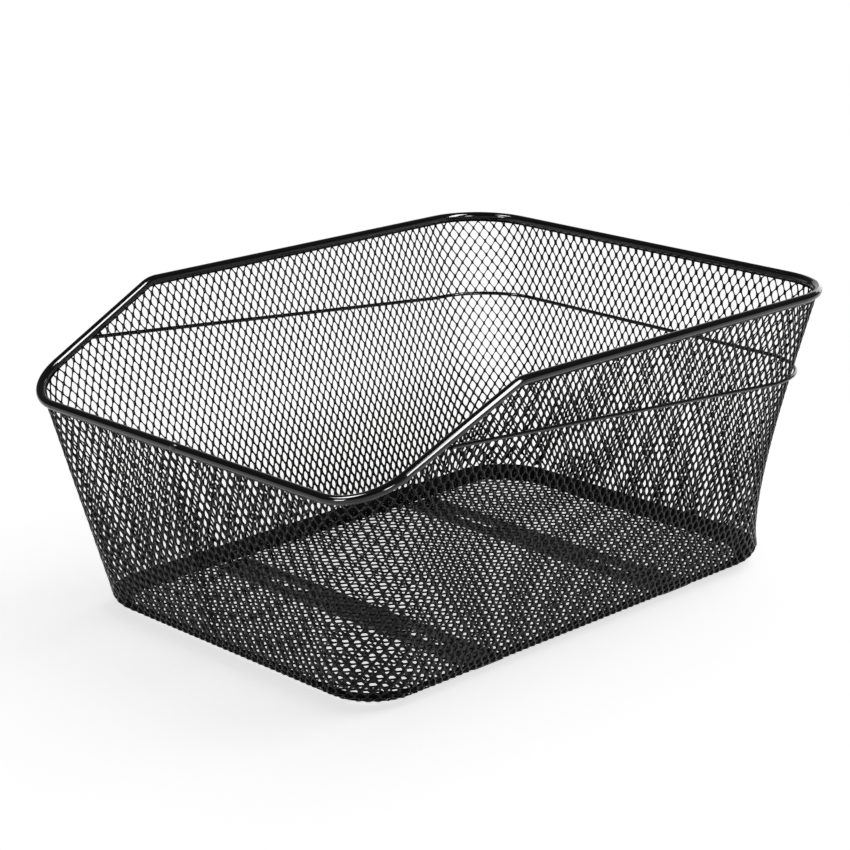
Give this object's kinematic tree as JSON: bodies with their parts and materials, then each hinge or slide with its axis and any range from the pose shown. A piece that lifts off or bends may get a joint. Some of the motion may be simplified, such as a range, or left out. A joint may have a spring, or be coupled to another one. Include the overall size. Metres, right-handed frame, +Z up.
{
  "type": "bicycle carrier basket",
  "caption": "Open bicycle luggage-carrier basket of black expanded metal, with a bent rod rim, a dropped front edge, an outside wire and slotted mounting bars under its floor",
  "frame": {"origin": "centre of the overall box in plan, at the underside of the two bars", "axes": "+Z up, -Y towards the dropped front edge, +Y towards the high back, X across the width"},
  "size_m": [0.3214, 0.4054, 0.1867],
  "materials": {
    "coated_rod": "gloss",
    "coated_mesh": "gloss",
    "coated_bar": "satin"
  },
  "bodies": {
    "root": {"rim_rod": "coated_rod", "side_wire": "coated_rod", "floor_mesh": "coated_mesh", "wall_front": "coated_mesh", "wall_right": "coated_mesh", "wall_back": "coated_mesh", "wall_left": "coated_mesh", "corner_front_right": "coated_mesh", "corner_back_right": "coated_mesh", "corner_back_left": "coated_mesh", "corner_front_left": "coated_mesh", "front_bar": "coated_bar", "back_bar": "coated_bar"}
  },
  "joints": []
}
